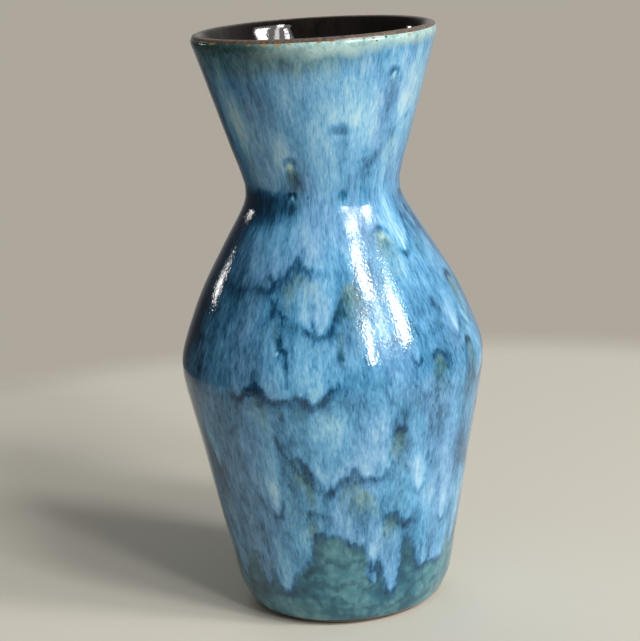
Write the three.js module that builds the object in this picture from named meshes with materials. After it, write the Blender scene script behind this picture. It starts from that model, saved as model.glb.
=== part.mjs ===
// Ceramic bud vase: a thrown stoneware body with a running blue glaze outside and a dark liner glaze inside.
// Millimetres, +Z up, origin on the axis at the plane of the foot ring.
import * as THREE from 'three';

// Overall form. Each corner is [radius from the axis, height above the table, rounding radius].
const HEIGHT = 150;
const GLAZE_LINE = { radius: 25.4, height: 1.0 };
const HEEL = [28.2, 6.6, 8];
const BELLY = [39.9, 66.3, 20];
const SHOULDER = [34.9, 81.4, 100];
const NECK = [19.1, 108.9, 10];

// The mouth: a flared rim that ends in a round lip.
const LIP_ROUND = 1.7;
const LIP_CREST_RADIUS = 29.4;
const RIM_FLARE = THREE.MathUtils.degToRad(17);

// The bore, from the lip down to the floor.
const BORE_NECK = [14.4, 109.5, 13];
const BORE_BELLY = [34.8, 68.5, 24];
const BORE_HEEL = [22.9, 9.6, 9];
const FLOOR_HEIGHT = 9.6;

// Glaze coats, with a small clearance between each coat and the clay.
const OUTER_GLAZE = 0.6;
const INNER_GLAZE = 0.5;
const COAT_GAP = 0.1;
const COAT_JOIN_GAP = 0.3;

// The turned foot: a flat bare ring around a shallow recess.
const RING_OUTER_RADIUS = 23.0;
const RING_INNER_RADIUS = 19.4;
const RECESS_RADIUS = 18.2;
const RECESS_DEPTH = 1.8;

// Fineness of the faceted solids.
const SEGMENTS = 40;
const CHORD_ERROR = 0.06;
const RUN_STEP = 12;

const CLAY = { name: 'clay_body', color: 0x9a8a78, roughness: 0.85 };
const BLUE = { name: 'outer_glaze', color: 0x3f7fa6, roughness: 0.16 };
const BROWN = { name: 'inner_glaze', color: 0x2a1d18, roughness: 0.14 };

const LIP_CENTRE = new THREE.Vector2(LIP_CREST_RADIUS, HEIGHT - LIP_ROUND);

// A sample of a wall: a point on its glazed face and the unit vector from there into the clay.
function sample(point, inward) {
  return { point: point.clone(), inward: inward.clone() };
}

// The unit vector to the left of the direction from a to b.
function leftOf(a, b) {
  const along = b.clone().sub(a).normalize();
  return new THREE.Vector2(-along.y, along.x);
}

// Samples of a straight run, ends included.
function straight(a, b) {
  const steps = Math.max(1, Math.ceil(a.distanceTo(b) / RUN_STEP));
  const left = leftOf(a, b);
  return Array.from({ length: steps + 1 }, (_, i) => sample(a.clone().lerp(b, i / steps), left));
}

// Samples of an arc, from one angle to another, turning whichever way is the shorter.
function arc(centre, radius, from, to) {
  const turn = Math.atan2(Math.sin(to - from), Math.cos(to - from));
  const steps = Math.max(2, Math.ceil(Math.abs(turn) / (2 * Math.acos(1 - CHORD_ERROR / radius))));
  const side = turn > 0 ? -1 : 1;
  return Array.from({ length: steps + 1 }, (_, i) => {
    const angle = from + turn * i / steps;
    const outward = new THREE.Vector2(Math.cos(angle), Math.sin(angle));
    return sample(outward.clone().multiplyScalar(radius).add(centre), outward.multiplyScalar(side));
  });
}

// Samples of a wall that runs from start to end through rounded corners.
function wall(start, corners, end) {
  const samples = [];
  let from = start;
  corners.forEach(([radius, height, rounding], i) => {
    const corner = new THREE.Vector2(radius, height);
    const next = i + 1 < corners.length ? new THREE.Vector2(corners[i + 1][0], corners[i + 1][1]) : end;
    const back = from.clone().sub(corner).normalize();
    const ahead = next.clone().sub(corner).normalize();
    const half = Math.acos(back.dot(ahead)) / 2;
    const setback = rounding / Math.tan(half);
    const enter = corner.clone().addScaledVector(back, setback);
    const leave = corner.clone().addScaledVector(ahead, setback);
    const bisector = back.clone().add(ahead).normalize();
    const centre = corner.clone().addScaledVector(bisector, rounding / Math.sin(half));
    samples.push(...straight(from, enter));
    samples.push(...arc(centre, rounding, enter.clone().sub(centre).angle(), leave.clone().sub(centre).angle()));
    from = leave;
  });
  samples.push(...straight(from, end));
  return samples.filter((s, i) => i === 0 || s.point.distanceTo(samples[i - 1].point) > 1e-6);
}

// The line that lies a given depth under a sampled face.
function under(samples, depth) {
  return samples.map(({ point, inward }) => point.clone().addScaledVector(inward, depth));
}

// The lip's round, from an angle on its outer side, over the crest, to where the bore starts.
function lip(from) {
  const crest = Math.PI / 2;
  const outerHalf = arc(LIP_CENTRE, LIP_ROUND, from, crest);
  const innerHalf = arc(LIP_CENTRE, LIP_ROUND, crest, Math.PI - RIM_FLARE);
  return [...outerHalf, ...innerHalf.slice(1)];
}

// A solid of revolution about Z. A ring's profile closes on itself, a full one starts and ends on the axis.
function turned({ name, color, roughness }, profile) {
  const geometry = new THREE.LatheGeometry(profile, SEGMENTS);
  geometry.rotateX(Math.PI / 2);
  const mesh = new THREE.Mesh(geometry, new THREE.MeshStandardMaterial({ color, roughness, metalness: 0 }));
  mesh.name = name;
  return mesh;
}

const glazeLine = new THREE.Vector2(GLAZE_LINE.radius, GLAZE_LINE.height);
const lipOut = new THREE.Vector2(Math.cos(-RIM_FLARE), Math.sin(-RIM_FLARE)).multiplyScalar(LIP_ROUND).add(LIP_CENTRE);
const lipIn = lipOut.clone().sub(LIP_CENTRE).negate().add(LIP_CENTRE);
const floorCentre = new THREE.Vector2(0, FLOOR_HEIGHT);

const outside = wall(glazeLine, [HEEL, BELLY, SHOULDER, NECK], lipOut);
const bore = wall(lipIn, [BORE_NECK, BORE_BELLY, BORE_HEEL], floorCentre);
const wholeLip = lip(-RIM_FLARE);
const linerLip = lip(-RIM_FLARE + COAT_JOIN_GAP / LIP_ROUND);

// The clay: foot ring and recess, outer wall, lip, bore and floor.
function clayBody() {
  const foot = [
    new THREE.Vector2(0, RECESS_DEPTH),
    new THREE.Vector2(RECESS_RADIUS, RECESS_DEPTH),
    new THREE.Vector2(RING_INNER_RADIUS, 0),
    new THREE.Vector2(RING_OUTER_RADIUS, 0),
  ];
  const depthOutside = OUTER_GLAZE + COAT_GAP;
  return turned(CLAY, [
    ...foot,
    ...under(outside, depthOutside),
    ...under(wholeLip, depthOutside).slice(1, -1),
    ...under(bore, INNER_GLAZE + COAT_GAP),
  ]);
}

// The blue coat over the outer wall, from just above the foot ring to the lip.
function outerGlaze() {
  const face = under(outside, 0);
  return turned(BLUE, [...face, ...under(outside, OUTER_GLAZE).reverse(), face[0]]);
}

// The dark coat over the lip and all of the bore and floor.
function innerGlaze() {
  const overLip = linerLip.slice(0, -1);
  const face = under([...overLip, ...bore], 0);
  const back = [...under(overLip, OUTER_GLAZE), ...under(bore, INNER_GLAZE)];
  return turned(BROWN, [...back.reverse(), ...face]);
}

const group = new THREE.Group();
group.add(clayBody(), outerGlaze(), innerGlaze());

export default group;
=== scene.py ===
"""Ceramic bud vase: running blue glaze over stoneware, with a dark liner glaze.

Lengths are in mm until a mesh is made.
"""

import math

import bmesh
import bpy
import numpy as np
from mathutils import Matrix, Vector

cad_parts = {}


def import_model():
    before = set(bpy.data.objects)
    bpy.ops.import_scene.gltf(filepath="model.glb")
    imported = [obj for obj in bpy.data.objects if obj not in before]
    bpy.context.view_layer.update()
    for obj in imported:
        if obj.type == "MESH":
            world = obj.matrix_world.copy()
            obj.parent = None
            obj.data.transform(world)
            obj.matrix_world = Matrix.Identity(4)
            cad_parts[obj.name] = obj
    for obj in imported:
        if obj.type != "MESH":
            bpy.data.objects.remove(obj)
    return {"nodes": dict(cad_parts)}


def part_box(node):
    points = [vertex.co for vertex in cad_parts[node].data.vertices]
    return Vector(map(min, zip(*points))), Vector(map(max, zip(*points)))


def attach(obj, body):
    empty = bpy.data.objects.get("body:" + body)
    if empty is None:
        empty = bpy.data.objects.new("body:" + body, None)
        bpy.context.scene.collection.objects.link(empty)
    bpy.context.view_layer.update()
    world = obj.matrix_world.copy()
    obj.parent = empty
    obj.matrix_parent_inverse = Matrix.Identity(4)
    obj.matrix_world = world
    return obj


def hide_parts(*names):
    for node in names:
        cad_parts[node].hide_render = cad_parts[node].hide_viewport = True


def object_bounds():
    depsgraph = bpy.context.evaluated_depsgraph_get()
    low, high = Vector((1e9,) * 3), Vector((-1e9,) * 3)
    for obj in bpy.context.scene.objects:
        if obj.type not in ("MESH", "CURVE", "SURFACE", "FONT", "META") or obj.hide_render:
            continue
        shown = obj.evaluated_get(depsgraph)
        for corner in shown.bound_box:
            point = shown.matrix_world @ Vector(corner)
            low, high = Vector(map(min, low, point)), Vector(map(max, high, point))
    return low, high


MM = 0.001
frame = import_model()
cad_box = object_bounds()

# Fineness of the modelled surfaces: columns around the pot, and rows along each coat.
AROUND = 384
COAT_ROWS = 190
CLAY_ROWS = 200
LINER_ROWS = 150
BACK_ROWS = 62
PROFILE_POINTS = 900
# Radius of the cylinder that the textures and the noise are laid on.
FLOW_RADIUS = 30

# Thickness of the coats on the clay, and the round of the lip under them.
OUTER_COAT = 0.64
LINER_COAT = 0.5
LIP_ROUND = 1.7
RIM_FLARE = 17.0
# How far the resting face of the blue coat lies under the turned form, so that its drips stay inside it.
COAT_REST = 0.26
# Angles on the lip's round, from the outward radius. The brown coat starts under the blue one, which thins
# out from there and ends.
BROWN_START = 15.0
BLUE_END = 60.0

rng = np.random.default_rng(20261)


# ---------------------------------------------------------------- turned profiles, read from the frame

def rings(node, facing):
    """Heights and radii of the rings on a CAD node's faces that look outwards (1) or inwards (-1)."""
    mesh = frame["nodes"][node].data
    found = {}
    for face in mesh.polygons:
        out = Vector((face.center.x, face.center.y, 0)).normalized()
        if facing * face.normal.dot(out) < 0.5:
            continue
        for index in face.vertices:
            x, y, z = mesh.vertices[index].co
            found[round(z / MM, 2)] = math.hypot(x, y) / MM
    heights = sorted(found)
    return np.array(heights), np.array([found[h] for h in heights])


def smooth_line(x, y, at):
    """A smooth curve through the points (x, y) that doesn't overshoot them, at the places given."""
    step = np.diff(x)
    slope = np.diff(y) / step
    tangent = np.zeros(len(x))
    tangent[0], tangent[-1] = slope[0], slope[-1]
    for i in range(1, len(x) - 1):
        if slope[i - 1] * slope[i] > 0:
            before, after = 2 * step[i] + step[i - 1], step[i] + 2 * step[i - 1]
            tangent[i] = (before + after) / (before / slope[i - 1] + after / slope[i])
    k = np.clip(np.searchsorted(x, at) - 1, 0, len(x) - 2)
    t = (at - x[k]) / step[k]
    return ((2 * t**3 - 3 * t**2 + 1) * y[k] + (t**3 - 2 * t**2 + t) * step[k] * tangent[k]
            + (3 * t**2 - 2 * t**3) * y[k + 1] + (t**3 - t**2) * step[k] * tangent[k + 1])


def evenly(points, count):
    """The points of a line (radius, height), spaced evenly along it."""
    along = lengths(points)
    at = np.linspace(0, along[-1], count)
    return np.stack([np.interp(at, along, points[:, 0]), np.interp(at, along, points[:, 1])], 1)


def lengths(points):
    """Distance along a line at each of its points."""
    return np.concatenate([[0], np.cumsum(np.hypot(*np.diff(points, axis=0).T))])


def normals_of(line):
    """Unit vectors to the right of a line's direction: outwards where it climbs the outside of the pot."""
    along = np.gradient(line, axis=0)
    along /= np.linalg.norm(along, axis=1)[:, None]
    return np.stack([along[:, 1], -along[:, 0]], 1)


def offset(line, depth):
    """The line moved to the left of its direction, which is into the clay."""
    return line - normals_of(line) * depth


def lip_arc(start, end):
    """Points on the lip's round between two angles in degrees from the outward radius."""
    angles = np.radians(np.linspace(start, end, 60))
    return np.stack([LIP_RADIUS + LIP_ROUND * np.cos(angles), LIP_HEIGHT + LIP_ROUND * np.sin(angles)], 1)


wall_heights, wall_radii = rings("outer_glaze", 1)
bore_heights, bore_radii = rings("inner_glaze", -1)
foot_heights, foot_radii = rings("clay_body", 1)
recess_heights, recess_radii = rings("clay_body", -1)
floor_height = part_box("inner_glaze")[0].z / MM + LINER_COAT

LIP_HEIGHT = cad_box[1].z / MM - LIP_ROUND
LIP_RADIUS = wall_radii[-1] - LIP_ROUND * math.cos(math.radians(RIM_FLARE))

wall_z = np.linspace(wall_heights[0], wall_heights[-1], PROFILE_POINTS)
wall_line = np.stack([smooth_line(wall_heights, wall_radii, wall_z), wall_z], 1)

in_bore = bore_heights < LIP_HEIGHT - 2 * LIP_ROUND
lip_inside = lip_arc(180 - RIM_FLARE, 180 - RIM_FLARE + 1)[:1]
bore_knots_z = np.append(bore_heights[in_bore], lip_inside[0, 1])
bore_knots_r = np.append(bore_radii[in_bore], lip_inside[0, 0])
bore_z = np.linspace(bore_knots_z[0], bore_knots_z[-1], PROFILE_POINTS)
bore_line = np.stack([smooth_line(bore_knots_z, bore_knots_r, bore_z), bore_z], 1)


# ---------------------------------------------------------------- meshes on a grid around the pot

AZIMUTH = np.arange(AROUND) * 2 * math.pi / AROUND - math.pi


def waves(azimuth, along, wavelength, count, stretch=1.0):
    """Seeded smooth noise from about -1 to 1, periodic round the pot, drawn out along the wall by stretch."""
    total = np.zeros(np.broadcast(azimuth, along).shape)
    for _ in range(count):
        heading = rng.uniform(0, math.pi)
        size = wavelength * rng.uniform(0.7, 1.5)
        around = round(math.cos(heading) * 2 * math.pi * FLOW_RADIUS / size)
        up = math.sin(heading) * 2 * math.pi / (size * stretch)
        total += np.cos(around * azimuth + up * along + rng.uniform(0, 2 * math.pi))
    return total / math.sqrt(count)


def spin(line, push=None):
    """Vertices of a line spun about the axis, in mm: rows along the line, columns around.

    push moves each vertex outwards, square to the line.
    """
    radius, height = line[:, :1], line[:, 1:]
    if push is not None:
        normal = normals_of(line)
        radius = radius + normal[:, :1] * push
        height = height + normal[:, 1:] * push
    height = np.broadcast_to(height, (len(line), AROUND))
    return np.stack([radius * np.sin(AZIMUTH), -radius * np.cos(AZIMUTH), height], 2)


def grid_mesh(name, rows, share, closed_rows=False):
    """A mesh over rows of vertices that wrap round the pot, with each row's place in the UV map, from 0 to 1.

    Rows either close on themselves, or start and end on the axis, where each end row is one point.
    """
    count = len(rows)
    vertices = rows.reshape(-1, 3)
    bands = count if closed_rows else count - 1
    row, column = np.meshgrid(np.arange(bands), np.arange(AROUND), indexing="ij")
    above, beside = (row + 1) % count, (column + 1) % AROUND
    quads = np.stack([row * AROUND + column, row * AROUND + beside, above * AROUND + beside,
                      above * AROUND + column], 2).reshape(-1, 4)
    top = np.append(share[1:], 1.0)
    u = np.stack([column, column + 1, column + 1, column], 2).reshape(-1, 4) / AROUND
    v = np.stack([share[row], share[row], top[row], top[row]], 2).reshape(-1, 4)
    mesh = bpy.data.meshes.new(name)
    mesh.from_pydata((vertices * MM).tolist(), [], quads.tolist())
    # The layer's name is the exporter's own, so that it bakes to this layout.
    layer = mesh.uv_layers.new(name="OFBake")
    layer.data.foreach_set("uv", np.stack([u, v], 2).astype(np.float32).ravel())
    mesh.shade_smooth()
    piece = bpy.data.objects.new(name, mesh)
    bpy.context.scene.collection.objects.link(piece)
    return piece


def close_axis(piece):
    """Welds each row of vertices that lies on the axis into one point."""
    work = bmesh.new()
    work.from_mesh(piece.data)
    on_axis = [v for v in work.verts if math.hypot(v.co.x, v.co.y) < 1e-7]
    bmesh.ops.remove_doubles(work, verts=on_axis, dist=1e-6)
    work.to_mesh(piece.data)
    work.free()


def store(piece, name, values):
    """Keeps one number for each vertex, for the material to read."""
    attribute = piece.data.attributes.new(name, "FLOAT", "POINT")
    attribute.data.foreach_set("value", np.asarray(values, np.float32).ravel())


def store_flow(piece, along):
    """Keeps each vertex's place on an even cylinder, in mm, so that streaks run straight down every slope."""
    spots = (FLOW_RADIUS * np.sin(AZIMUTH), -FLOW_RADIUS * np.cos(AZIMUTH), along[:, None])
    place = np.stack([np.broadcast_to(spot, (len(along), AROUND)) for spot in spots], 2)
    attribute = piece.data.attributes.new("flow", "FLOAT_VECTOR", "POINT")
    attribute.data.foreach_set("vector", place.astype(np.float32).ravel())


# ---------------------------------------------------------------- how the blue glaze ran

def smoothstep(low, high, value):
    t = np.clip((value - low) / (high - low), 0, 1)
    return t * t * (3 - 2 * t)


coat_line = evenly(np.concatenate([wall_line, lip_arc(-RIM_FLARE, BLUE_END)[1:]]), COAT_ROWS)
coat_along = lengths(coat_line)
coat_radius = coat_line[:, :1]


def along_at(height):
    """Distance along the coat from its foot, at a height on the wall."""
    return np.interp(height, coat_line[:, 1], coat_along)


def apart(degrees):
    """Angle from an azimuth to each column, the short way round, in radians."""
    gap = AZIMUTH - math.radians(degrees)
    return (gap + math.pi) % (2 * math.pi) - math.pi


# The lower edge of each curtain of glaze, as (azimuth in degrees, height, how dark the edge is).
# Azimuth 0 is the front, and it grows towards the right-hand side.
CURTAINS = {
    "neck": [
        (-92, 113, .3), (-78, 111, .4), (-63, 110.4, .5), (-48, 110.8, .6), (-38, 110.4, .6),
        (-31, 111.6, .5), (-26, 115, .3), (-16, 112, 0), (8, 110, 0), (22, 112, .1), (30, 109, 0),
        (38, 112, .2), (48, 108, .1), (58, 111, .2), (68, 107, .5), (76, 108, .5), (86, 110, .3)],
    "shoulder": [
        (-90, 93, .4), (-70, 96, .3), (-56, 90, .3), (-46, 88.5, .35), (-38, 89.2, .4),
        (-30, 89.4, .55), (-26, 90.5, .8), (-22, 92.6, .9), (-19, 94.3, 1), (-16, 96.2, 1), (-13, 94.6, 1),
        (-9, 94, .9), (-5, 93.4, .6), (1, 92.5, .3), (7, 93, .2), (11, 92.2, .5), (16, 95, .2),
        (24, 99, .1), (33, 100.5, .5), (39, 97.5, .6), (43, 95.4, .8), (47, 95, 1), (51, 95.6, .9),
        (56, 99, .6), (62, 104, .4), (70, 98, .4), (80, 103, .4)],
    "belly_top": [
        (-85, 80, .3), (-62, 76, .4), (-50, 78, .2), (-38, 77, .2), (-28, 83, .3),
        (-24, 87, .6), (-19, 82, .4), (-14, 82, .3), (-10, 79.8, .8), (-7, 79.2, 1), (-4, 79, 1),
        (-1, 79.4, 1), (2, 82.5, .7), (5, 86.2, .5), (8, 88.6, .45), (12, 89, .4), (17, 84, .2),
        (24, 84, .2), (33, 80, .2), (40, 76, .3), (47, 78, .3), (54, 75, .3), (59, 73.8, .6), (64, 78, .5),
        (72, 74, .4)],
    "belly": [
        (-80, 64, .3), (-66, 66, .3), (-52, 63, .3), (-43, 64.5, .4), (-37, 64, .8),
        (-33.5, 66, 1), (-30, 68, 1), (-27.5, 66, 1), (-25, 64.2, 1), (-22, 63.1, .9), (-18, 63.6, .5),
        (-14, 64.6, .6), (-11, 64, .9), (-8, 62.7, 1), (-5, 63.3, 1), (-2.5, 65.6, .9), (0, 66.6, .5),
        (4, 67.4, .4), (11, 64, .2), (20, 62, .2), (28, 65, .2), (36, 62, .3), (41, 66, .5), (46, 63, .3),
        (54, 60, .3), (61, 65, .4), (70, 60, .4)],
    "waist": [
        (-80, 46, .3), (-66, 50, .3), (-60, 41.4, .6), (-52, 48, .2), (-44, 44, .2),
        (-38, 40, .4), (-34.5, 33.6, .8), (-32, 31.8, .9), (-28.8, 31.4, .9), (-26.4, 33.6, .8),
        (-24, 42, .3), (-22.5, 52, .5), (-20, 51.5, .8), (-17, 48.6, .9), (-14, 46.2, .9), (-12, 44.2, .9),
        (-9, 42.3, .6), (-6, 38.4, 1), (-2.5, 39.8, 1), (1, 42.4, 1), (4, 43.1, 1), (6, 45.2, 1),
        (8, 43.2, 1), (11, 42.2, .9), (15, 41.2, 1), (19, 42, .9), (21.5, 43.4, .5), (23.2, 47, .25),
        (24.7, 54.6, .3), (27, 50, .25), (28.5, 44, .3), (31, 38, .4), (33, 36, .5), (34.5, 35.6, .5),
        (36, 36.4, .5), (37, 40, .3), (40, 46, .2), (44, 42, .3), (48, 33, .3), (49.8, 25.6, .5),
        (52, 24.6, .5), (54, 26, .5), (55.5, 32, .3), (60, 40, .3), (67, 31, .4), (76, 41, .3)],
    "hip": [
        (-78, 30, .3), (-68, 34, .3), (-58, 19, .4), (-52, 28, .3), (-46, 31, .3),
        (-38, 27, .2), (-32, 30, .2), (-26, 27, .3), (-21, 26.5, .3), (-17, 31, .5), (-14, 33.2, .8),
        (-9, 32.7, .7), (-6, 34, .3), (0, 36, 0), (8, 35, .2), (14, 29, .4), (17, 29.4, .4), (20, 30.8, .5),
        (24, 31.6, .5), (26, 29.2, .6), (28.5, 27.6, .9), (31, 28, .8), (34, 29.2, .7), (38, 34, .2),
        (44, 28, .2), (54, 24, .2), (62, 30, .3), (70, 22, .3)],
    "foot": [
        (-84, 20, .4), (-76, 13, .4), (-69, 18, .4), (-64, 11, .5), (-61, 9.8, .5),
        (-58, 12, .5), (-56, 18, .4), (-50, 19.4, .4), (-46, 14, .3), (-42, 10.8, .4), (-38, 15, .4),
        (-35.5, 11.4, .6), (-33, 9.3, .7), (-29.5, 9, .7), (-27, 12, .7), (-24, 15.6, .6), (-20, 17.4, .6),
        (-16, 19, .6), (-13.5, 24, .7), (-12, 27.4, .9), (-10, 27, 1), (-7, 26.1, 1), (-2, 26.4, 1),
        (1, 24.8, 1), (3, 23.8, 1), (6, 23.3, 1), (9, 23.5, 1), (10.5, 20, .6), (12.5, 16.9, 1),
        (15, 17.2, 1), (16.8, 18, .9), (18.5, 14, .4), (20.5, 9.6, .7), (23.5, 8.2, .8), (26, 9.6, .7),
        (27, 14, .5), (28.3, 21.8, .6), (30, 22.8, .5), (33, 22.3, .6), (36, 16, .8), (39, 14.2, 1),
        (42, 13.8, 1), (45, 14.5, .9), (49, 14.1, .8), (53, 13.7, .7), (57, 13.9, .5), (62, 20, .4),
        (67, 15.5, .5), (74, 22, .4)],
}
# How far apart the lobes are on the side that the lists don't reach, in degrees, and how far they hang.
LOBE_GAP = (4.8, 9)
LOBE_DROP = {"neck": 3, "shoulder": 6, "belly_top": 6, "belly": 5, "waist": 11, "hip": 8, "foot": 9}

# Long fingers of glaze: (azimuth, height of the tip, width, length of the pale part, how pale).
FINGERS = [
    (-58, 18.6, 3.0, 16, .35), (-42, 10.6, 3.0, 10, .2), (-31.5, 8.9, 4.2, 18, .5),
    (-29, 31.8, 4.6, 18, .75), (-6, 39.0, 4.4, 11, .5), (14, 18.1, 3.2, 9, .25), (22, 8.3, 4.0, 9, .15),
    (14, 12.2, 6.0, 1.8, .2), (30, 28.2, 4.2, 8, .35), (35, 35.8, 3.6, 16, .6), (52, 24.8, 3.6, 20, .6),
    (47, 95.4, 5.6, 9, .48), (-27, 91, 4, 10, .5), (-4, 79.2, 6.4, 9, .4), (-8, 63.0, 5, 8, .3),
    (17, 41.8, 3.4, 9, .45), (59, 74, 3.6, 12, .6), (33, 70, 4, 6, .4), (42, 14.2, 6, 9, .1),
    (-62, 11, 3.6, 10, .2)]

# Craters where the curtain broke: (azimuth, height of the dark crown, half width, length of the scar under
# it, depth, how green the scar is).
CRATERS = [
    (42, 140.7, 1.6, 5, 1.2, .6), (49, 125.2, 2.8, 8, .5, .45), (-20.5, 119.8, 1.6, 8, 1.5, .9),
    (-22.5, 111, 1.1, 5, 1.3, .6), (35, 101.8, 3.2, 9, .9, .9), (74, 87.5, 2.6, 9, 1.2, 1),
    (64, 72, 2.2, 8, 1.1, .9), (43, 72, 3.0, 7, .9, 1), (24.4, 54.4, 2.4, 7, .8, 1),
    (-9, 91.8, 3.0, 5, .35, .5), (9.5, 91, 3.6, 9, .4, 1), (-24, 84, 1.4, 4, .5, .5),
    (-48, 20, 2.4, 8, .6, .6), (9, 39.5, 4.8, 6, .3, 1), (21.5, 31.2, 3.0, 6, .6, 1),
    (-16.5, 45.5, 3.0, 6, .5, .9), (-60, 37, 2.6, 7, .5, .6), (79, 99.6, 2.0, 8, .6, .6),
    (75, 53, 1.6, 7, .6, .5)]

# Dark smears: (azimuth, height, half width in mm, half height, depth).
SMEARS = [
    (-25, 85.2, 1.0, 2.8, .85), (-21, 77.4, 1.0, 2.6, .8), (-17.5, 71.5, .6, 3.6, .75),
    (3, 74, 1.2, 3.0, .7), (1.5, 67.6, .8, 1.6, .6), (20, 82.4, .7, 1.8, .6), (-20, 58, 1.3, 3.4, .6),
    (-18, 52.5, 1.1, 2.4, .55), (50, 83, 1.3, 2.4, .5), (41, 60.6, 1.1, 1.0, .6), (73, 104.2, 1.1, 1.4, .8),
    (27, 118.4, 1.9, 1.2, .45), (36, 115, 1.6, 1.6, .35), (14, 110.3, 1.4, 1.6, .7),
    (-13, 123.5, 1.3, 3.6, .40), (-15, 127, 1.0, 3.6, .3), (-60, 127, 1.4, 3.0, .5),
    (-23, 107.6, 1.5, 2.2, .6), (-20, 115, 2.0, 3.4, .7), (-31.5, 65.8, 3.2, 1.5, 1),
    (-25, 63.2, 2.0, 1.0, .7), (9, 41.8, 3.6, .8, .6), (-4, 63.6, 1.6, 1.4, .6), (8, 83.8, 1.4, 2.4, .35),
    (5, 86.6, 1.2, 2.2, .2), (12, 127.2, 2.8, 2.0, 1.0), (12.5, 123.5, 2.2, 2.4, .5),
    (49, 124.6, 2.2, 2.4, .5), (-45, 67, 1.6, 2.4, .35), (-6, 74, .5, 2.0, .3), (-12, 33, 3.0, 1.0, .6),
    (-11, 110.2, .25, .25, 1.2), (-4, 103, 1.2, 3.4, .2), (33, 90, 1.6, 4.0, .25), (54, 90, 1.4, 4.0, .3),
    (-30, 100, 1.4, 3.4, .3), (-40, 75, 1.2, 3.6, .3), (14, 57, 1.0, 2.6, .25), (-50, 58, 1.6, 4.0, .25)]

# Dark seams, as (depth, half width in mm) and then the points they run through, as (azimuth, height).
SEAMS = [
    ((.85, 1.0), (-20, 14.9), (-16, 17.2), (-11, 18), (-8, 19.6), (-4, 19.3), (-1, 17.9), (3, 19),
     (7, 19.6), (11, 18), (14, 17.1)),
    ((.75, 1.0), (-22, 10.4), (-17, 12.8), (-12, 13.6), (-8, 12), (-4, 11.4), (0, 13), (5, 12.9), (9, 11.2),
     (14, 11), (19, 9), (25, 8.1)),
    ((.6, .9), (-17, 9.1), (-13, 6.6), (-9, 7.6), (-5, 9.4), (-1, 7.4), (4, 6.6), (8, 8.4), (9, 11.2)),
    ((.5, .9), (-9, 7.6), (-7, 4.5), (-1, 3.6), (4, 6.6), (12, 4.6), (18, 6), (22, 3.6), (30, 5.5),
     (36, 9)),
    ((.6, 1.0), (27, 15), (31, 11.6), (36, 9), (42, 10.4), (47, 7), (54, 8.6)),
    ((.45, 1.6), (43, 138.5), (42, 133), (40, 128)),
    ((.45, 1.4), (62, 128.5), (52, 126), (42, 121.5), (33, 117.5), (24, 115)),
    ((.7, .7), (-27, 87.1), (-23, 84.7), (-19, 83.3)),
    ((.8, .6), (-21, 78.3), (-21, 76.8), (-18, 75.4), (-18, 71.3), (-17, 67.5)),
    ((.6, .8), (3, 75.6), (4, 71)),
    ((.9, .8), (-36, 63.9), (-32.5, 66.6), (-30, 67.7), (-27, 65.2), (-23, 63.4), (-18, 63.8)),
    ((.9, .7), (-11, 64.2), (-7, 63.1), (-4, 64.6), (0, 66.6)),
    ((.8, .7), (-24, 54), (-22.5, 50), (-19, 47), (-16, 43.5), (-12.5, 42), (-9.5, 39)),
]

# Painted highlights: small pale glints on bubbles in the craters, as (azimuth, height, half width in mm).
PAINTED_GLINTS = [
    (-21, 118.3, .75), (-22.6, 110.1, .55), (35, 99.8, .8), (-21.5, 75.4, .35), (42, 139.3, .5)]
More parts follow.
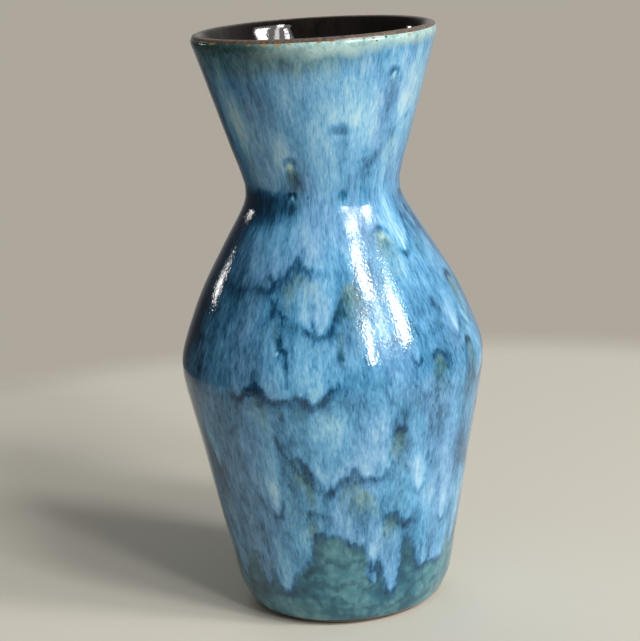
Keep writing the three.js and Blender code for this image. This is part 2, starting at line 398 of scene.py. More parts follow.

# Broad lighter and darker passages: (azimuth, height, half width in mm, half height, how light). Most are the
# glaze's own tone; the dark ones at the far left edge, at azimuths from -70 to -84, are painted shade.
PASSAGES_AND_SHADE = [
    (20, 127, 7, 9, .18), (56, 130, 6, 12, .26), (62, 142, 8, 6, .16), (10, 132, 40, 15, .13),
    (-10, 98, 26, 5, .05), (-16, 70, 11, 5, .06), (40, 92, 12, 6, .06), (-60, 130, 6, 10, .10),
    (-2, 127, 9, 11, .08), (8, 140, 9, 5, .04), (44, 131, 2.2, 8, -.14), (-36, 134, 6, 9, -.20),
    (-48, 137, 4, 6, -.04), (-76, 128, 6, 16, -.34), (-45, 117, 8, 5, -.08), (-27, 119, 3, 5, .16),
    (-46, 106.6, 9, 3.8, -.40), (-33, 108.5, 3, 2, -.10), (-18, 115, 3, 4, -.12), (-10, 102, 7, 7, .18),
    (-30, 101, 6, 5, .08), (0, 118, 6, 6, .05), (47, 99, 4, 6, .16), (12, 100, 8, 8, .08),
    (30, 106, 6, 5, .08), (-45, 97, 8, 4, .02), (-44, 89, 10, 2.2, -.06), (-34, 84, 9, 4, -.02),
    (-56, 80, 6, 10, -.06), (-56, 124, 4.5, 14, .20), (9, 38, 5, 4, -.08), (-84, 82, 9, 24, -.36),
    (-76, 80, 13, 22, -.40), (-80, 137, 6, 14, -.12), (-70, 101, 7, 6, -.14), (26, 68, 8, 5, .04),
    (-33, 69.5, 7, 2, -.14), (48, 84, 8, 6, -.05), (45, 69, 6, 5, -.14), (52, 57, 4, 12, .16),
    (-4, 57, 12, 5, .08), (-38, 52, 8, 9, .08), (-31, 40, 5, 9, .12), (14, 48, 5, 5, -.02),
    (24, 32, 6, 6, -.12), (-52, 36, 8, 12, -.02), (-18, 36, 4, 5, .04), (64, 44, 6, 14, -.08),
    (44, 143, 4, 4, .14), (-23, 141, 6, 5, .12), (-8, 133, 6, 8, .06), (-44, 119, 5, 4, -.08),
    (-74, 112, 6, 14, -.1), (-50, 15, 14, 8, -.16), (-72, 46, 12, 22, -.12), (-10, 72, 26, 9, -.04),
    (-2, 17, 12, 8, .16), (38, 20, 12, 8, -.14), (-31, 14, 3, 7, .1), (-29, 94.5, 5, 3, .16),
    (-39, 108.3, 2.4, 2.4, .16), (-62, 108, 6, 4, -.22), (-54, 69, 5, 5, -.14), (-31, 65, 5, 2.2, -.12),
    (-25, 62.5, 4, 2, -.08), (15, 125.8, 3, 3, -.10), (47, 125, 3, 4, -.10), (43, 98, 3, 3, -.16),
    (15, 92, 4, 6, -.10), (30, 71.4, 4, 3, .10), (23, 59, 4, 5, .14), (74, 83, 4, 7, -.10),
    (-22, 45, 2.4, 5, .08), (-16, 33, 3, 3, .10), (-8, 36.5, 2.6, 2.6, -.10), (13, 42.5, 3, 3, -.12),
    (4, 39, 2.6, 4, .12), (-71, 26, 5, 8, -.12), (-21, 18.5, 4, 4, -.14), (29, 16, 3, 4, .14),
    (61, 37, 3, 6, -.08), (57, 107, 3, 6, .10), (39, 138, 3, 7, .10), (-50, 133, 3, 8, .08),
    (-38, 122.5, 3, 4, -.06), (2, 81.5, 3, 3, .06), (-18, 68, 3, 3, .08), (34, 68, 3, 4, -.06),
    (0, 66.5, 4, 2, .06)]


# The side that these lists don't reach, in degrees, gets fingers, craters, smears and passages of its own.
BEHIND = (90, 264)
CRATERS_BEHIND = (92, 262)


def mark_the_back():
    """Adds marks of each kind at seeded places on the side that the lists don't reach."""
    behind = np.random.default_rng(7)
    for _ in range(26):
        turn = behind.uniform(*BEHIND, 3)
        FINGERS.append((turn[0], behind.uniform(10, 92), behind.uniform(2.8, 5), behind.uniform(7, 18),
                        behind.uniform(0.1, 0.6)))
        SMEARS.append((turn[1], behind.uniform(12, 138), behind.uniform(0.6, 1.8), behind.uniform(1, 4),
                       behind.uniform(0.3, 0.9)))
        PASSAGES_AND_SHADE.append((turn[2], behind.uniform(20, 135), behind.uniform(4, 11), behind.uniform(5, 12),
                         behind.uniform(-0.12, 0.20)))
    for _ in range(14):
        CRATERS.append((behind.uniform(*CRATERS_BEHIND), behind.uniform(28, 136), behind.uniform(1.5, 3),
                        behind.uniform(5, 9), behind.uniform(0.5, 1.2), behind.uniform(0.3, 0.9)))


# A curtain's edge is worked out at finer places than the columns. It acts on vertices up to a reach away, in
# columns, and hangs or arches against its own mean over a window of fine places.
FINER = 4
REACH = 14
LEVEL_WINDOW = 141
fine_azimuth = np.arange(AROUND * FINER) * 2 * math.pi / (AROUND * FINER) - math.pi


def back_lobes(name, front):
    """Lobes from the last front point round the back to the first one."""
    level = np.mean([height for _, height, _ in front])
    drop = LOBE_DROP[name]
    points, degrees, low = [], front[-1][0], True
    while True:
        degrees += rng.uniform(*LOBE_GAP)
        if degrees > front[0][0] + 360 - LOBE_GAP[0]:
            return points
        swing = drop * rng.uniform(0.2, 1.0) * (-0.5 if low else 0.5)
        points.append((degrees, level + swing + rng.normal(0, drop * 0.22), rng.uniform(0.35, 1)))
        low = not low


def curtain_edge(name):
    """Distance along the wall, and darkness, of a curtain's lower edge, at four places for each column."""
    front = CURTAINS[name]
    points = front + back_lobes(name, front)
    turn = np.array([p[0] for p in points] + [points[0][0] + 360], float)
    edge = np.array([along_at(p[1]) for p in points] + [along_at(points[0][1])])
    dark = np.array([p[2] for p in points] + [points[0][2]])
    at = (np.degrees(fine_azimuth) - turn[0]) % 360 + turn[0]
    k = np.clip(np.searchsorted(turn, at, side="right") - 1, 0, len(turn) - 2)
    t = (at - turn[k]) / (turn[k + 1] - turn[k])
    t = t * t * (3 - 2 * t)
    ragged = 0.28 * waves(fine_azimuth, np.zeros(1), 2.4, 9) + 0.3 * waves(fine_azimuth, np.zeros(1), 7, 7)
    patchy = np.clip(0.88 + 0.22 * waves(fine_azimuth, np.zeros(1), 6, 8), 0.1, 1.15)
    return edge[k] * (1 - t) + edge[k + 1] * t + ragged, (dark[k] * (1 - t) + dark[k + 1] * t) * patchy


def distance_to(edge):
    """Signed distance in mm from each vertex to a curtain's lower edge, positive on the curtain."""
    nearest = np.full((COAT_ROWS, AROUND), 1e9)
    for shift in range(-REACH * FINER, REACH * FINER + 1):
        there = np.roll(edge, -shift)[::FINER]
        across = coat_radius * (shift * 2 * math.pi / (AROUND * FINER))
        nearest = np.minimum(nearest, across**2 + (coat_along[:, None] - there) ** 2)
    side = np.where(coat_along[:, None] > edge[::FINER], 1, -1)
    return np.sqrt(nearest) * side


along = coat_along[:, None]
pool, scar, tip_and_glint, covered = (np.zeros((COAT_ROWS, AROUND)) for _ in range(4))


def raise_to(field, values):
    """Lifts a field to the values wherever they are higher."""
    np.maximum(field, values, out=field)


def from_mark(degrees, height):
    """Distances in mm from a mark on the wall to each vertex, across the wall and up it."""
    return coat_radius * apart(degrees), along - along_at(height)


def pool_along(distance, dark, below):
    """Glaze gathered along an edge. It ends sharply on the curtain, and fades out below, over a length."""
    reach = np.where(distance > 0, distance, -distance / below)
    raise_to(pool, dark * np.exp(-reach**1.6))


def hang_curtain(name):
    """Darkens a curtain's edge, pales the tips of its lobes, scars the wall below and covers it above."""
    edge, dark = curtain_edge(name)
    distance = distance_to(edge)
    fall = np.maximum(-distance, 0)
    window = np.ones(LEVEL_WINDOW) / LEVEL_WINDOW
    level = np.convolve(np.tile(edge, 3), window, "same")[len(edge):2 * len(edge)]
    hang = smoothstep(-2.5, 2.5, level - edge)[::FINER]
    dark = dark[::FINER]
    pool_along(distance, dark, 1.5 + 1.9 * (1 - hang))
    raise_to(tip_and_glint, dark * hang * smoothstep(0.1, 1.4, distance) * np.exp(-np.maximum(distance, 0) / 6.5))
    raise_to(scar, dark * (1 - 0.7 * hang) * smoothstep(0.8, 2.4, fall) * np.exp(-fall / 5.0))
    raise_to(covered, smoothstep(-1.7, 1.1, distance))


def run_finger(degrees, height, width, length, pale):
    """A long drip with a rounded, pale, dark-rimmed tip."""
    across, up = from_mark(degrees, height)
    across = np.abs(across)
    side = width / 2 * np.sqrt(1 - np.exp(-np.maximum(up, 0) / (0.8 * width))) + 0.12 * up * (up < 0)
    distance = np.where(up > 0, side - across, -np.hypot(up, across))
    fade = np.exp(-(np.maximum(up, 0) / length) ** 2)
    pool_along(distance, 0.8 * np.exp(-(up / (0.9 * width)) ** 2), 0.9)
    raise_to(tip_and_glint, 1.05 * pale * fade * smoothstep(-0.5, 0.8, distance))
    raise_to(covered, smoothstep(-0.8, 0.7, distance) * (up < 3 * length))


def smear(degrees, height, width, tall, depth):
    across, up = from_mark(degrees, height)
    raise_to(pool, depth * np.exp(-((across / width) ** 2 + (up / tall) ** 2) ** 1.5))


def open_crater(degrees, height, width, length, depth, greenness):
    """A dark crown with a grey-green scar under it."""
    across, up = from_mark(degrees, height)
    down = -up
    distance = (across**2 / width - down) / np.sqrt(1 + (2 * across / width) ** 2)
    pool_along(distance, depth * np.exp(-(down / (1.3 * width)) ** 2 - (across / (1.6 * width)) ** 2), 1.1)
    inside = smoothstep(-0.4, 1.8, -distance) * np.exp(-np.maximum(down, 0) / length)
    raise_to(scar, inside * greenness * np.exp(-(across / (1.5 * width)) ** 2))


def draw_seam(depth, width, points):
    """A dark line through points on the wall."""
    for (start, low), (end, high) in zip(points, points[1:]):
        across, up = from_mark(start, low)
        run = coat_radius * math.radians(end - start)
        rise = along_at(high) - along_at(low)
        t = np.clip((across * run + up * rise) / (run**2 + rise**2), 0, 1)
        raise_to(pool, depth * np.exp(-((across - t * run) ** 2 + (up - t * rise) ** 2) / width**2))


# Painted highlight: lightens a small round spot and raises the relief there a little.
def paint_glint(degrees, height, size):
    across, up = from_mark(degrees, height)
    np.add(tip_and_glint, 1.6 * np.exp(-(across**2 + up**2) / size**2), out=tip_and_glint)


def tones_and_shade():
    """Lighter and darker passages over soft seeded patches, with painted shade at the far left edge."""
    tone_and_shade = 0.06 * waves(AZIMUTH, along, 26, 8, 1.6) + 0.055 * waves(AZIMUTH, along, 8, 10, 2.8)
    for degrees, height, width, tall, light in PASSAGES_AND_SHADE:
        across, up = from_mark(degrees, height)
        tone_and_shade += light * np.exp(-(across / width) ** 2 - (up / tall) ** 2)
    return tone_and_shade


mark_the_back()
for curtain in CURTAINS:
    hang_curtain(curtain)
for finger in FINGERS:
    run_finger(*finger)
for mark in SMEARS:
    smear(*mark)
for crater in CRATERS:
    open_crater(*crater)
for (seam_depth, seam_width), *seam_points in SEAMS:
    draw_seam(seam_depth, seam_width, seam_points)
for glint in PAINTED_GLINTS:
    paint_glint(*glint)
tone_and_shade = tones_and_shade()

# The glaze is thin towards the lip, and greyer there, most of all on the left and at the back.
below_lip = along_at(LIP_HEIGHT + LIP_ROUND) - along + 0.5 * waves(AZIMUTH, along, 9, 6)
# Painted shade: the band at the lip is darker on the left and the back-left, away from the lights.
rim_shade = np.cos(AZIMUTH - math.radians(-85)) + 0.15 * waves(AZIMUTH, np.zeros(1), 30, 5)
rim_shade = smoothstep(-0.1, 0.6, rim_shade)
rim_haze = smoothstep(-0.9, 0.5, np.cos(AZIMUTH - math.radians(-70))) + 0.1 * waves(AZIMUTH, along, 30, 5)
rim_haze = rim_haze * smoothstep(15, 3, below_lip)


# ---------------------------------------------------------------- the relief of the blue coat

DEEPEST_RELIEF = -0.16
HIGHEST_RELIEF = COAT_REST - 0.03
# Width of the rolled lower edge of the coat.
EDGE_ROLL = 1.3


def coat_relief():
    """How far the face of the blue coat stands out from its resting place, in mm, at each vertex."""
    relief = (-0.09 * pool
              + 0.05 * tip_and_glint
              - 0.06 * scar
              + 0.04 * waves(AZIMUTH, along, 15, 8, 1.5)
              + 0.006 * waves(AZIMUTH, along, 5, 10, 1.5)
              + 0.015 * waves(AZIMUTH * 0, along, 7, 5))
    for _ in range(3):
        relief = (np.roll(relief, 1, axis=1) + 2 * relief + np.roll(relief, -1, axis=1)) / 4
        relief[1:-1] = (relief[:-2] + 2 * relief[1:-1] + relief[2:]) / 4
    return np.clip(relief, DEEPEST_RELIEF, HIGHEST_RELIEF)


def coat_push():
    """How far each vertex lies outside the turned form: rolled over at the foot, thinned out on the lip."""
    edge_roll = np.minimum(along / EDGE_ROLL, 1)
    lower_roll = np.sqrt(1 - (1 - edge_roll) ** 2)
    angle_up = np.degrees(np.arctan2(coat_line[:, 1] - LIP_HEIGHT, coat_line[:, 0] - LIP_RADIUS))
    thinning = np.clip((angle_up - BROWN_START) / (BLUE_END - BROWN_START), 0, 1)
    thinning = np.where(coat_line[:, 1] > LIP_HEIGHT, thinning, 0)[:, None]
    return -OUTER_COAT + (OUTER_COAT - COAT_REST + coat_relief()) * lower_roll * (1 - thinning**2)


def blue_coat():
    """The blue coat as a closed skin: its run face outside, and a plain face against the clay."""
    face = spin(coat_line, coat_push())
    back_line = evenly(offset(coat_line, OUTER_COAT), BACK_ROWS + 2)[1:-1][::-1]
    rows = np.concatenate([face, spin(back_line)])
    share = np.concatenate([np.linspace(0, 0.97, COAT_ROWS), np.linspace(0.975, 0.998, BACK_ROWS)])
    piece = grid_mesh("blue_glaze_coat", rows, share, closed_rows=True)
    # The back isn't seen, but its rows keep the numbers of the face's rows in front of them.
    nearest_rows = np.linspace(COAT_ROWS - 1, 0, BACK_ROWS).round().astype(int)
    fields = {"pool": pool, "scar": scar, "tip_and_glint": tip_and_glint, "tone_and_shade": tone_and_shade, "covered": covered,
              "below_lip": below_lip, "rim_haze": rim_haze, "rim_shade": np.broadcast_to(rim_shade, pool.shape)}
    for key, values in fields.items():
        store(piece, key, np.concatenate([values, values[nearest_rows]]))
    store_flow(piece, np.concatenate([coat_along, lengths(back_line)[::-1]]))
    return piece


# ---------------------------------------------------------------- clay and liner

def clay():
    """The clay body: foot ring and recess, the wall under the blue coat, the lip, the bore and the floor."""
    ring_inner, ring_outer = recess_radii[0], foot_radii[0]
    recess_depth, recess_radius = recess_heights[1], recess_radii[1]
    foot = np.array([(0, recess_depth), (recess_radius * 0.5, recess_depth + 0.1),
                     (recess_radius - 0.6, recess_depth), (recess_radius, recess_depth - 0.3),
                     (ring_inner - 0.2, 0.25), (ring_inner + 0.1, 0),
                     (ring_outer - 0.3, 0), (ring_outer + 0.2, 0.12)])
    under_blue = offset(np.concatenate([wall_line, lip_arc(-RIM_FLARE, 90)[1:]]), OUTER_COAT + 0.12)
    inside = np.concatenate([bore_line, lip_arc(180 - RIM_FLARE, 90)[1:]])[::-1]
    inside = np.concatenate([inside, rounded_floor(inside[-1])])
    under_liner = offset(inside, LINER_COAT + 0.02)
    under_liner[-1, 0] = 0
    line = np.concatenate([foot, under_blue, under_liner[under_liner[:, 0] < under_blue[-1, 0] - 0.05]])
    line = evenly(line, CLAY_ROWS)
    radius, height = line[:, :1], line[:, 1:]
    turned = (height > 0.2) * (height < recess_depth + 0.5) * (radius > 1)
    turning = 0.03 * np.sin(lengths(line)[:, None] * 4.2) * turned
    rows = spin(line, turning * np.ones(AROUND))
    rows[0, :, :2] = 0
    rows[-1, :, :2] = 0
    piece = grid_mesh("stoneware_body", rows, np.linspace(0, 0.998, CLAY_ROWS))
    store_flow(piece, lengths(line))
    close_axis(piece)
    return piece


def rounded_floor(start):
    """Points from the bore's lowest ring in to the axis, flattening out on the floor."""
    t = np.linspace(0, 1, 40)[1:]
    radius = start[0] * (1 - t)
    return np.stack([radius, floor_height + (start[1] - floor_height) * (1 - t) ** 8], 1)


def liner():
    """The brown liner coat over the lip, the bore and the floor, as a closed skin against the clay."""
    lip = lip_arc(BROWN_START, 180 - RIM_FLARE)
    inside = np.concatenate([lip[:-1], bore_line[::-1]])
    inside = evenly(np.concatenate([inside, rounded_floor(inside[-1])]), LINER_ROWS)
    down = lengths(inside)[:, None]
    tuck = np.clip(down / (LIP_ROUND * math.radians(BLUE_END - BROWN_START)), 0, 1)
    push = -(LINER_COAT + 0.05) * (1 - tuck) ** 1.5 - 0.02
    push = push + 0.05 * waves(AZIMUTH, down, 16, 8, 2) * smoothstep(1, 8, down)
    push = push + 0.10 * np.exp(-((down - 5) / 1.6) ** 2) * (1 + waves(AZIMUTH, np.zeros(1), 12, 6))
    face = spin(inside, push)
    back_line = offset(inside, LINER_COAT)[::12][::-1]
    back_line[0, 0] = 0
    face[-1, :, :2] = 0
    rows = np.concatenate([spin(back_line)[:-1], face])
    rows[0, :, :2] = 0
    share = np.concatenate([np.linspace(0, 0.02, len(back_line) - 1), np.linspace(0.025, 0.998, LINER_ROWS)])
    piece = grid_mesh("liner_glaze_coat", rows, share)
    depth = np.concatenate([np.full(len(back_line) - 1, 40.0), down[:, 0]])
    store(piece, "below_lip", np.repeat(depth, AROUND))
    store_flow(piece, depth)
    close_axis(piece)
    return piece


# ---------------------------------------------------------------- materials

class Graph:
    """A material's nodes, built by calls that return sockets."""

    def __init__(self, name):
        self.material = bpy.data.materials.new(name)
        self.material.use_nodes = True
        self.nodes = self.material.node_tree.nodes
        self.links = self.material.node_tree.links
        self.shader = self.nodes["Principled BSDF"]
        self.shader.inputs["IOR"].default_value = 1.5

    def put(self, socket, value):
        if isinstance(value, bpy.types.NodeSocket):
            self.links.new(value, socket)
        else:
            socket.default_value = value

    def calc(self, operation, a, b):
        node = self.nodes.new("ShaderNodeMath")
        node.operation = operation
        self.put(node.inputs[0], a)
        self.put(node.inputs[1], b)
        return node.outputs[0]

    def add(self, *values):
        total = values[0]
        for value in values[1:]:
            total = self.calc("ADD", total, value)
        return total

    def times(self, *values):
        total = values[0]
        for value in values[1:]:
            total = self.calc("MULTIPLY", total, value)
        return total

    def spread(self, noise, amount):
        """A noise recentred on 0 and scaled."""
        return self.times(self.calc("SUBTRACT", noise, 0.5), amount)

    def step(self, value, low, high):
        """Rises smoothly from 0 to 1 as the value goes from low to high, which may be the smaller one."""
        node = self.nodes.new("ShaderNodeMapRange")
        node.interpolation_type = "SMOOTHSTEP"
        for socket, number in zip(node.inputs, (value, low, high)):
            self.put(socket, number)
        return node.outputs[0]

    def mix(self, factor, a, b):
        node = self.nodes.new("ShaderNodeMix")
        node.data_type = "RGBA"
        self.put(node.inputs[0], factor)
        self.put(node.inputs[6], a)
        self.put(node.inputs[7], b)
        return node.outputs[2]

    def ramp(self, value, *stops):
        """A colour from a value, by stops of (value, (red, green, blue))."""
        node = self.nodes.new("ShaderNodeValToRGB")
        elements = node.color_ramp.elements
        while len(elements) < len(stops):
            elements.new(0.5)
        for element, (place, colour) in zip(elements, stops):
            element.position, element.color = place, (*colour, 1)
        self.put(node.inputs[0], value)
        return node.outputs[0]

    def number(self, name):
        """A number that the mesh keeps for each vertex."""
        node = self.nodes.new("ShaderNodeAttribute")
        node.attribute_name = name
        return node.outputs["Fac"]

    def flow(self, stretch=1.0):
        """Place on the pot in mm, squeezed along the wall so that noise on it is drawn out by stretch."""
        node = self.nodes.new("ShaderNodeAttribute")
        node.attribute_name = "flow"
        scaled = self.nodes.new("ShaderNodeVectorMath")
        scaled.operation = "MULTIPLY"
        self.links.new(node.outputs["Vector"], scaled.inputs[0])
        scaled.inputs[1].default_value = (1, 1, 1 / stretch)
        return scaled.outputs[0]

    def noise(self, place, size, detail=2.0, roughness=0.5, warp=0.0):
        """Noise from 0 to 1 with features of a size in mm."""
        node = self.nodes.new("ShaderNodeTexNoise")
        self.links.new(place, node.inputs["Vector"])
        node.inputs["Scale"].default_value = 1 / size
        node.inputs["Detail"].default_value = detail
        node.inputs["Roughness"].default_value = roughness
        node.inputs["Distortion"].default_value = warp
        return node.outputs["Fac"]

    def cells(self, place, size, feature="F1"):
        """Distance to the middle of the nearest cell, in cells of a size in mm."""
        node = self.nodes.new("ShaderNodeTexVoronoi")
        node.feature = feature
        self.links.new(place, node.inputs["Vector"])
        node.inputs["Scale"].default_value = 1 / size
        return node.outputs["Distance"]

    def warped(self, place, size, amount):
        """A place pushed about by noise, by up to about the amount in mm."""
        node = self.nodes.new("ShaderNodeTexNoise")
        self.links.new(place, node.inputs["Vector"])
        node.inputs["Scale"].default_value = 1 / size
        node.inputs["Detail"].default_value = 1
        push = self.nodes.new("ShaderNodeVectorMath")
        push.operation = "MULTIPLY_ADD"
        self.links.new(node.outputs["Color"], push.inputs[0])
        push.inputs[1].default_value = (2 * amount,) * 3
        self.links.new(place, push.inputs[2])
        return push.outputs[0]

    def bump(self, height, depth_mm):
        node = self.nodes.new("ShaderNodeBump")
        node.inputs["Distance"].default_value = depth_mm * MM
        self.put(node.inputs["Height"], height)
        self.links.new(node.outputs[0], self.shader.inputs["Normal"])

    def finish(self, colour, roughness):
        self.links.new(colour, self.shader.inputs["Base Color"])
        self.links.new(roughness, self.shader.inputs["Roughness"])
        return self.material


def blue_glaze():
    g = Graph("blue_glaze")
    hair = g.noise(g.flow(5), 0.36, 1, 0.5, 0.2)
    fibre = g.noise(g.flow(4.5), 0.8, 2, 0.55, 0.3)
    strand = g.noise(g.flow(3.0), 2.4, 2, 0.55, 0.5)
    cloud = g.noise(g.flow(1.6), 9, 2, 0.5)
    dash = g.step(g.noise(g.flow(3.6), 0.6, 1.0, 0.5, 0.3), 0.56, 0.70)
    shred = g.noise(g.flow(1.8), 1.4, 2, 0.6)
    mottle = g.noise(g.flow(1), 1.3, 3, 0.6)

    # Short dark smears, in patches.
    streaks = g.times(g.step(g.noise(g.flow(2.8), 3.0, 1.0, 0.5, 0.4), 0.55, 0.72),
                      g.step(g.noise(g.flow(1.2), 17, 1.0), 0.42, 0.58))
    pool = g.step(g.add(g.number("pool"), g.spread(shred, 0.9), g.spread(fibre, 0.7)), 0.05, 1.10)
    # Lightness: the glaze's tone with painted shade at the far left edge, pale lobe tips with painted glints,
    # and dark pools.
    light = g.add(0.475, g.number("tone_and_shade"),
                  g.spread(hair, 0.36), g.spread(fibre, 0.44), g.spread(strand, 0.45), g.times(dash, -0.10),
                  g.spread(cloud, 0.45), g.times(g.number("tip_and_glint"), 0.38), g.times(pool, -0.41),
                  g.times(streaks, -0.12))

    # The same lights and darks in three hues: blue, lavender in hazes, and grey green where a curtain broke.
    blue = g.ramp(light, (0.0, (0.004, 0.034, 0.080)), (0.2, (0.015, 0.100, 0.210)),
                  (0.4, (0.062, 0.240, 0.435)), (0.6, (0.140, 0.41, 0.68)), (0.8, (0.31, 0.61, 0.81)),
                  (1.0, (0.54, 0.79, 0.86)))
    lavender = g.ramp(light, (0.0, (0.005, 0.032, 0.080)), (0.25, (0.038, 0.130, 0.245)),
                      (0.5, (0.138, 0.31, 0.55)), (0.75, (0.29, 0.49, 0.72)), (1.0, (0.50, 0.68, 0.82)))
    green = g.ramp(light, (0.0, (0.005, 0.030, 0.045)), (0.25, (0.034, 0.115, 0.140)),
                   (0.5, (0.12, 0.26, 0.29)), (0.75, (0.25, 0.43, 0.43)), (1.0, (0.42, 0.61, 0.57)))
    lavender_haze = g.step(g.noise(g.flow(2.0), 13, 2, 0.5), 0.44, 0.68)
    colour = g.mix(g.times(lavender_haze, 0.65), blue, lavender)
    scar = g.step(g.add(g.number("scar"), g.spread(shred, 0.6), g.spread(strand, 0.4)), 0.05, 0.70)
    colour = g.mix(g.times(scar, 0.9), colour, green)

    # The under-coat: teal, in soft pebbles, where no blue ran over it. It is darkest in the seams.
    place = g.warped(g.flow(0.65), 5.0, 1.6)
    seam = g.step(g.add(g.cells(place, 7.5, "SMOOTH_F1"), g.spread(mottle, 0.25)), 0.62, 0.30)
    pebble = g.step(g.cells(g.warped(g.flow(1.0), 2.0, 0.6), 2.6), 0.65, 0.1)
    # The under-coat takes the same tone, including the painted shade at the far left edge.
    under = g.ramp(g.add(g.times(seam, 0.26), g.times(pebble, 0.16), g.spread(mottle, 0.5),
                         g.spread(cloud, 0.7), g.times(g.number("tone_and_shade"), 1.2), g.times(pool, -0.15), 0.36),
                   (0.1, (0.008, 0.056, 0.096)), (0.45, (0.033, 0.142, 0.204)), (0.8, (0.112, 0.292, 0.338)))
    cover = g.step(g.add(g.number("covered"), g.spread(shred, 0.7), g.spread(fibre, 0.6)), 0.12, 0.88)
    under = g.mix(g.times(pool, 0.62), under, (0.008, 0.050, 0.086, 1))
    colour = g.mix(cover, under, colour)

    # Towards the lip: a grey-green haze, then a band of pale aqua, painted dark teal on the left as painted
    # shade, with specks.
    below = g.number("below_lip")
    haze = g.step(g.add(g.number("rim_haze"), g.spread(strand, 0.7), g.spread(fibre, 0.5)), 0.15, 0.95)
    colour = g.mix(g.times(haze, 0.85), colour, green)
    thin = g.ramp(g.add(mottle, g.spread(strand, 0.5)), (0.3, (0.25, 0.44, 0.45)), (0.6, (0.47, 0.68, 0.66)))
    thin_in_shade = g.ramp(mottle, (0.3, (0.018, 0.062, 0.072)), (0.7, (0.062, 0.140, 0.142)))
    band = g.step(g.add(below, g.spread(mottle, 4.0), g.spread(cloud, 6.0)), 5.2, 2.0)
    colour = g.mix(band, colour, g.mix(g.number("rim_shade"), thin, thin_in_shade))
    speck = g.step(g.cells(g.flow(1), 2.4), 0.20, 0.10)
    speck = g.times(speck, g.step(g.add(below, g.spread(mottle, 2.0)), 5.0, 3.5), g.step(cloud, 0.5, 0.6))
    colour = g.mix(speck, colour, (0.02, 0.10, 0.15, 1))
    ochre = g.times(g.step(g.noise(g.flow(0.6), 2.4, 1.0), 0.56, 0.68), g.step(below, 1.9, 1.2))
    colour = g.mix(ochre, colour, (0.42, 0.26, 0.09, 1))

    grain = g.noise(g.flow(1.3), 0.55, 1, 0.5)
    g.bump(g.add(g.times(fibre, 0.3), grain), 0.04)
    return g.finish(colour, g.add(0.05, g.times(mottle, 0.06)))


def liner_glaze():
    g = Graph("liner_glaze")
    down = g.number("below_lip")
    mottle = g.noise(g.flow(2), 3.0, 3, 0.6)
    fine = g.noise(g.flow(1), 0.8, 2, 0.6)
    dark = g.ramp(mottle, (0.3, (0.003, 0.0025, 0.0025)), (0.7, (0.012, 0.009, 0.008)))
    lip = g.ramp(fine, (0.25, (0.055, 0.040, 0.030)), (0.7, (0.21, 0.16, 0.12)))
    on_lip = g.step(g.add(down, g.spread(mottle, 1.2)), 3.4, 2.0)
    colour = g.mix(on_lip, dark, lip)
    g.bump(fine, 0.012)
    return g.finish(colour, g.add(0.06, g.times(on_lip, 0.16)))


def bare_clay():
    g = Graph("bare_stoneware")
    grain = g.noise(g.flow(1), 0.5, 4, 0.7)
    cloud = g.noise(g.flow(1), 9, 3, 0.5)
    colour = g.ramp(g.add(g.times(cloud, 0.7), g.times(grain, 0.3)),
                    (0.3, (0.13, 0.095, 0.07)), (0.7, (0.24, 0.18, 0.135)))
    fleck = g.step(g.cells(g.flow(1), 1.7), 0.16, 0.05)
    colour = g.mix(g.times(fleck, 0.8), colour, (0.06, 0.04, 0.03, 1))
    g.bump(g.add(grain, fleck), 0.05)
    return g.finish(colour, g.add(0.7, g.times(grain, 0.2)))


# ---------------------------------------------------------------- the pieces

def add_piece(piece, material, node):
    piece.data.materials.append(material)
    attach(piece, "root")
    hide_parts(node)


add_piece(clay(), bare_clay(), "clay_body")
add_piece(blue_coat(), blue_glaze(), "outer_glaze")
add_piece(liner(), liner_glaze(), "inner_glaze")


# ---------------------------------------------------------------- floor, light and camera

FLOOR_RADIUS = 0.3
FLOOR_EDGE = (0.235, 0.28)
FLOOR_COLOUR = (0.68, 0.655, 0.575, 1)
BACKDROP = (0.42, 0.385, 0.335, 1)
LIGHT_COLOUR = (1, 0.98, 0.95)
PANEL_DISTANCE = 2.0
CAMERA_PLACE = Vector((0, -0.475, 0.1916))
CAMERA_DOWN = math.radians(13.85)
CAMERA_LEFT = math.radians(0.33)
CAMERA_ROLL = math.radians(3.49)
LENS = 106.0


def floor():
    """A pale tabletop that softens into the plain backdrop behind the vase."""
    bpy.ops.mesh.primitive_circle_add(vertices=96, radius=FLOOR_RADIUS, fill_type="NGON")
    ground = bpy.context.object
    ground.name = "floor"
    g = Graph("floor")
    coordinate = g.nodes.new("ShaderNodeTexCoord")
    reach = g.nodes.new("ShaderNodeVectorMath")
    reach.operation = "LENGTH"
    g.links.new(coordinate.outputs["Object"], reach.inputs[0])
    clear = g.nodes.new("ShaderNodeBsdfTransparent")
    blend = g.nodes.new("ShaderNodeMixShader")
    g.links.new(g.step(reach.outputs["Value"], *FLOOR_EDGE), blend.inputs[0])
    g.links.new(g.shader.outputs[0], blend.inputs[1])
    g.links.new(clear.outputs[0], blend.inputs[2])
    g.links.new(blend.outputs[0], g.nodes["Material Output"].inputs["Surface"])
    g.shader.inputs["Base Color"].default_value = FLOOR_COLOUR
    g.shader.inputs["Roughness"].default_value = 0.8
    ground.data.materials.append(g.material)


def toward(azimuth, elevation, distance):
    """A point seen from the vase at an azimuth, from the front to the right, and an elevation."""
    a, e = math.radians(azimuth), math.radians(elevation)
    return Vector((math.sin(a) * math.cos(e), -math.cos(a) * math.cos(e), math.sin(e))) * distance


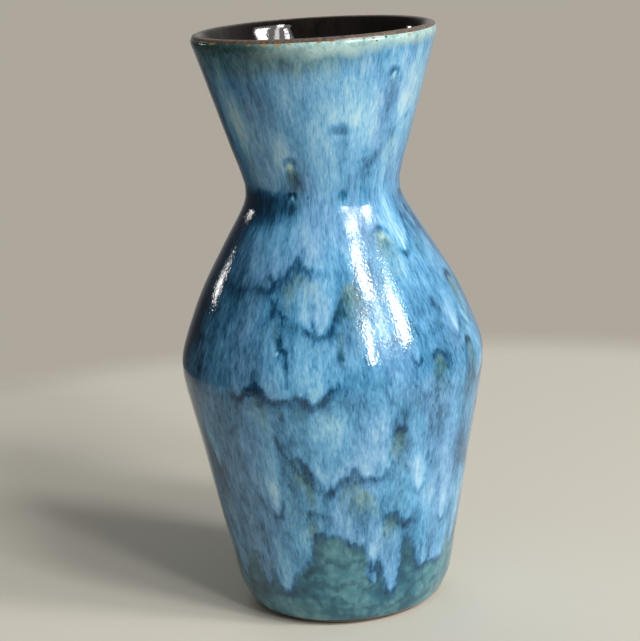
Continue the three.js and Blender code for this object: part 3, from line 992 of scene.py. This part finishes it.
def panel(name, azimuth, elevation, wide, tall, radiance, glossy=True):
    """A soft rectangular light, its size given as the angles in degrees that it fills seen from the vase."""
    data = bpy.data.lights.new(name, "AREA")
    data.shape = "RECTANGLE"
    data.size = 2 * PANEL_DISTANCE * math.tan(math.radians(wide / 2))
    data.size_y = 2 * PANEL_DISTANCE * math.tan(math.radians(tall / 2))
    data.energy = radiance * math.pi * data.size * data.size_y
    data.color = LIGHT_COLOUR
    light = bpy.data.objects.new(name, data)
    centre = (cad_box[0] + cad_box[1]) / 2
    light.location = centre + toward(azimuth, elevation, PANEL_DISTANCE)
    light.rotation_euler = (light.location - centre).to_track_quat("Z", "Y").to_euler()
    light.visible_glossy = glossy
    bpy.context.scene.collection.objects.link(light)


def world():
    """Plain studio surroundings: a backdrop, a fill light from the right, and dim walls to be reflected."""
    sky = bpy.data.worlds.new("studio")
    sky.use_nodes = True
    bpy.context.scene.world = sky
    nodes, links = sky.node_tree.nodes, sky.node_tree.links
    coordinate = nodes.new("ShaderNodeTexCoord")
    path = nodes.new("ShaderNodeLightPath")

    def lit_from(direction, low, high, darkest, brightest):
        dot = nodes.new("ShaderNodeVectorMath")
        dot.operation = "DOT_PRODUCT"
        links.new(coordinate.outputs["Generated"], dot.inputs[0])
        dot.inputs[1].default_value = direction
        strength = nodes.new("ShaderNodeMapRange")
        strength.interpolation_type = "SMOOTHSTEP"
        links.new(dot.outputs["Value"], strength.inputs["Value"])
        for socket, number in zip(strength.inputs[1:5], (low, high, darkest, brightest)):
            socket.default_value = number
        shade = nodes.new("ShaderNodeBackground")
        shade.inputs["Color"].default_value = (*LIGHT_COLOUR, 1)
        links.new(strength.outputs[0], shade.inputs["Strength"])
        return shade.outputs[0]

    def choose(ray, otherwise, then):
        mix = nodes.new("ShaderNodeMixShader")
        links.new(path.outputs[ray], mix.inputs[0])
        links.new(otherwise, mix.inputs[1])
        links.new(then, mix.inputs[2])
        return mix.outputs[0]

    backdrop = nodes["Background"]
    backdrop.inputs["Color"].default_value = BACKDROP
    fill = lit_from(toward(20, 25, 1), -0.3, 0.9, 0.03, 0.24)
    walls = lit_from(toward(140, 0, 1), 0.2, 0.85, 0.06, 0.36)
    light = choose("Is Camera Ray", choose("Is Glossy Ray", fill, walls), backdrop.outputs[0])
    links.new(light, nodes["World Output"].inputs["Surface"])


def camera():
    """The camera, looking down, turned a little to the left and tilted on its axis."""
    data = bpy.data.cameras.new("camera")
    data.lens = LENS
    data.sensor_width = 36
    eye = bpy.data.objects.new("camera", data)
    level = Vector((math.cos(CAMERA_LEFT), math.sin(CAMERA_LEFT), 0))
    ahead = Vector((-math.sin(CAMERA_LEFT), math.cos(CAMERA_LEFT), 0))
    forward = ahead * math.cos(CAMERA_DOWN) - Vector((0, 0, math.sin(CAMERA_DOWN)))
    up = level.cross(forward)
    right = level * math.cos(CAMERA_ROLL) - up * math.sin(CAMERA_ROLL)
    up = level * math.sin(CAMERA_ROLL) + up * math.cos(CAMERA_ROLL)
    eye.matrix_world = Matrix.Translation(CAMERA_PLACE) @ Matrix((right, up, -forward)).transposed().to_4x4()
    data.clip_start, data.clip_end = 0.01, 20
    bpy.context.scene.collection.objects.link(eye)
    bpy.context.scene.camera = eye


floor()
world()
camera()
panel("window_left_light", 31, 27, 5, 15, 30)
panel("window_middle_light", 46, 33, 5, 20, 12)
panel("window_right_light", 63.5, 28.5, 9.5, 16, 28)
panel("window_top_light", 42, 43, 9, 9, 28)
panel("curtain_light", 48, 33, 40, 26, 2.6)
panel("far_window_light", -128, 12.0, 8, 2.6, 17)
panel("back_light", -165, 25, 40, 30, 1.9, glossy=False)
bpy.context.scene.view_settings.view_transform = "Standard"
